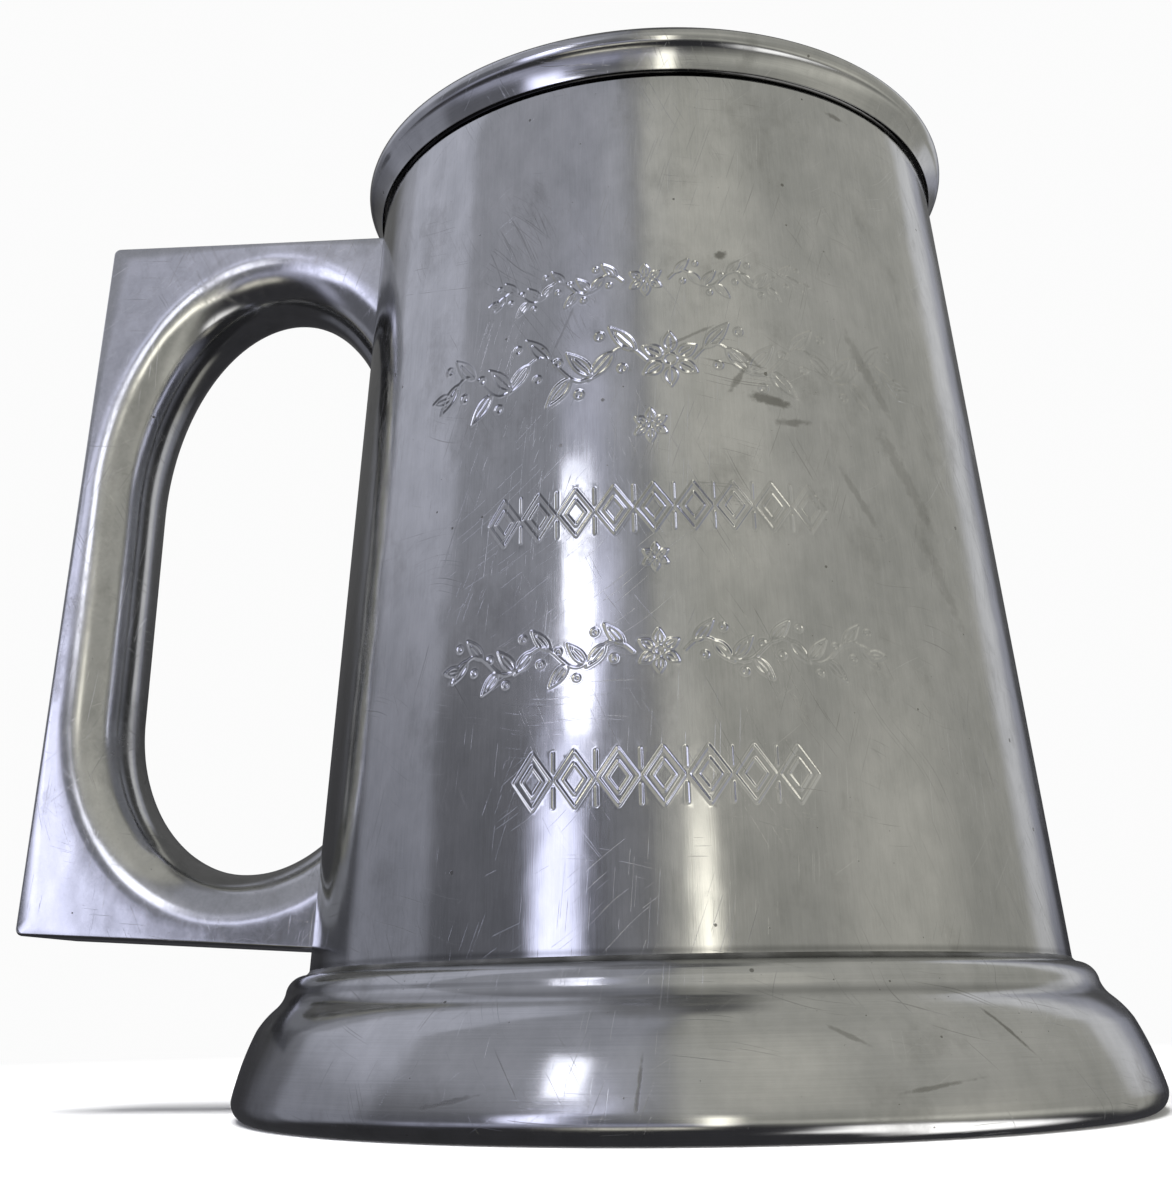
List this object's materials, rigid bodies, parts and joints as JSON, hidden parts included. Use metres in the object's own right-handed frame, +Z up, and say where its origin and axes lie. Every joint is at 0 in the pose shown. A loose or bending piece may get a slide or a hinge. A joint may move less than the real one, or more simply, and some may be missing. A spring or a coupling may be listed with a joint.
{
  "type": "pewter tankard",
  "caption": "Lidless pewter tankard: tapered drum, beaded rim, flared hollow foot and a square-backed hollow handle with an oval grip.",
  "frame": {"origin": "on the drum's axis, in the plane that the foot stands on", "axes": "+Z up along the drum's axis, -X towards the handle, XZ is the plane of symmetry"},
  "size_m": [0.1366, 0.106, 0.1234],
  "materials": {
    "drum": "satin pewter, fine vertical brushing, light scratches",
    "cast_parts": "turned satin pewter, lightly worn",
    "handle": "hand-buffed satin pewter",
    "solder": "dull tin solder, darkened by age"
  },
  "bodies": {
    "root": {"body_wall": "drum", "rim_band": "cast_parts", "rim_solder": "solder", "base_plate": "drum", "base_solder": "solder", "foot": "cast_parts", "foot_solder": "solder", "handle": "handle", "upper_handle_solder": "solder", "lower_handle_solder": "solder"}
  },
  "joints": []
}
